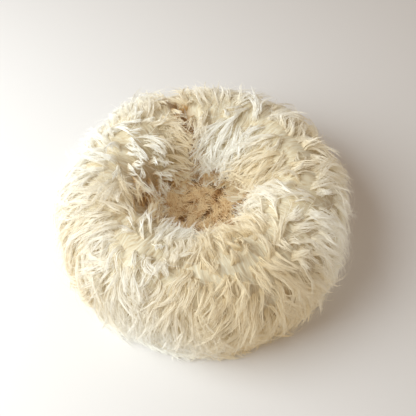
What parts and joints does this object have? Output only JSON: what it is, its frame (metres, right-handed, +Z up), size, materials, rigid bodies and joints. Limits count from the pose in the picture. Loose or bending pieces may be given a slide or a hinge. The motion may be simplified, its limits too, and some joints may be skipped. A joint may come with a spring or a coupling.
{
  "type": "pet cushion bed",
  "caption": "Round nest bed for a small pet: a fat ring wall and soft floor in long-wool fleece, with a canvas base that unzips to free the stuffed bolster and floor pad.",
  "frame": {"origin": "on the ground, at the centre of the round base", "axes": "+Z up out of the nest; -Y towards the front; +X to the right seen from the front; the zip runs along X"},
  "size_m": [0.47, 0.47, 0.16],
  "materials": {
    "wool": "natural long-wool fleece, ivory tips and amber roots, hide on the inside",
    "floor_wool": "shorter curly fleece, hide on the inside",
    "calico": "plain unbleached calico",
    "stuffing": "loose polyester fibre",
    "canvas": "plain-weave cotton canvas",
    "binding": "twill tape",
    "zip_tape": "woven zip tape",
    "zip_teeth": "moulded acetal",
    "zip_metal": "brushed antique brass"
  },
  "bodies": {
    "bed": {"outer_fleece_left": "wool", "outer_fleece_front": "wool", "outer_fleece_right": "wool", "inner_fleece_left": "wool", "inner_fleece_front": "wool", "inner_fleece_right": "wool", "floor_fleece": "floor_wool", "bolster_liner": "calico", "bolster_stuffing": "stuffing", "floor_pad_liner": "calico", "floor_pad_stuffing": "stuffing", "base_canvas_front": "canvas", "base_canvas_back": "canvas", "base_wadding_front": "stuffing", "base_wadding_back": "stuffing", "base_binding": "binding", "zip_tape_front": "zip_tape", "zip_tape_back": "zip_tape", "zip_teeth_front": "zip_teeth", "zip_teeth_back": "zip_teeth", "zip_top_stop_front": "zip_metal", "zip_top_stop_back": "zip_metal", "zip_bottom_stop": "zip_metal"},
    "slider": {"zip_slider": "zip_metal"},
    "pull": {"zip_pull": "zip_metal"}
  },
  "joints": [
    {"name": "zip_slide", "type": "slide", "parent": "bed", "child": "slider", "axis": [-1, 0, 0], "range_m": [0, 0.244]},
    {"name": "pull_hinge", "type": "hinge", "parent": "slider", "child": "pull", "pos_m": [0.1221, 0, 0.0025], "axis": [0, -1, 0], "range_deg": [0, 175]}
  ]
}
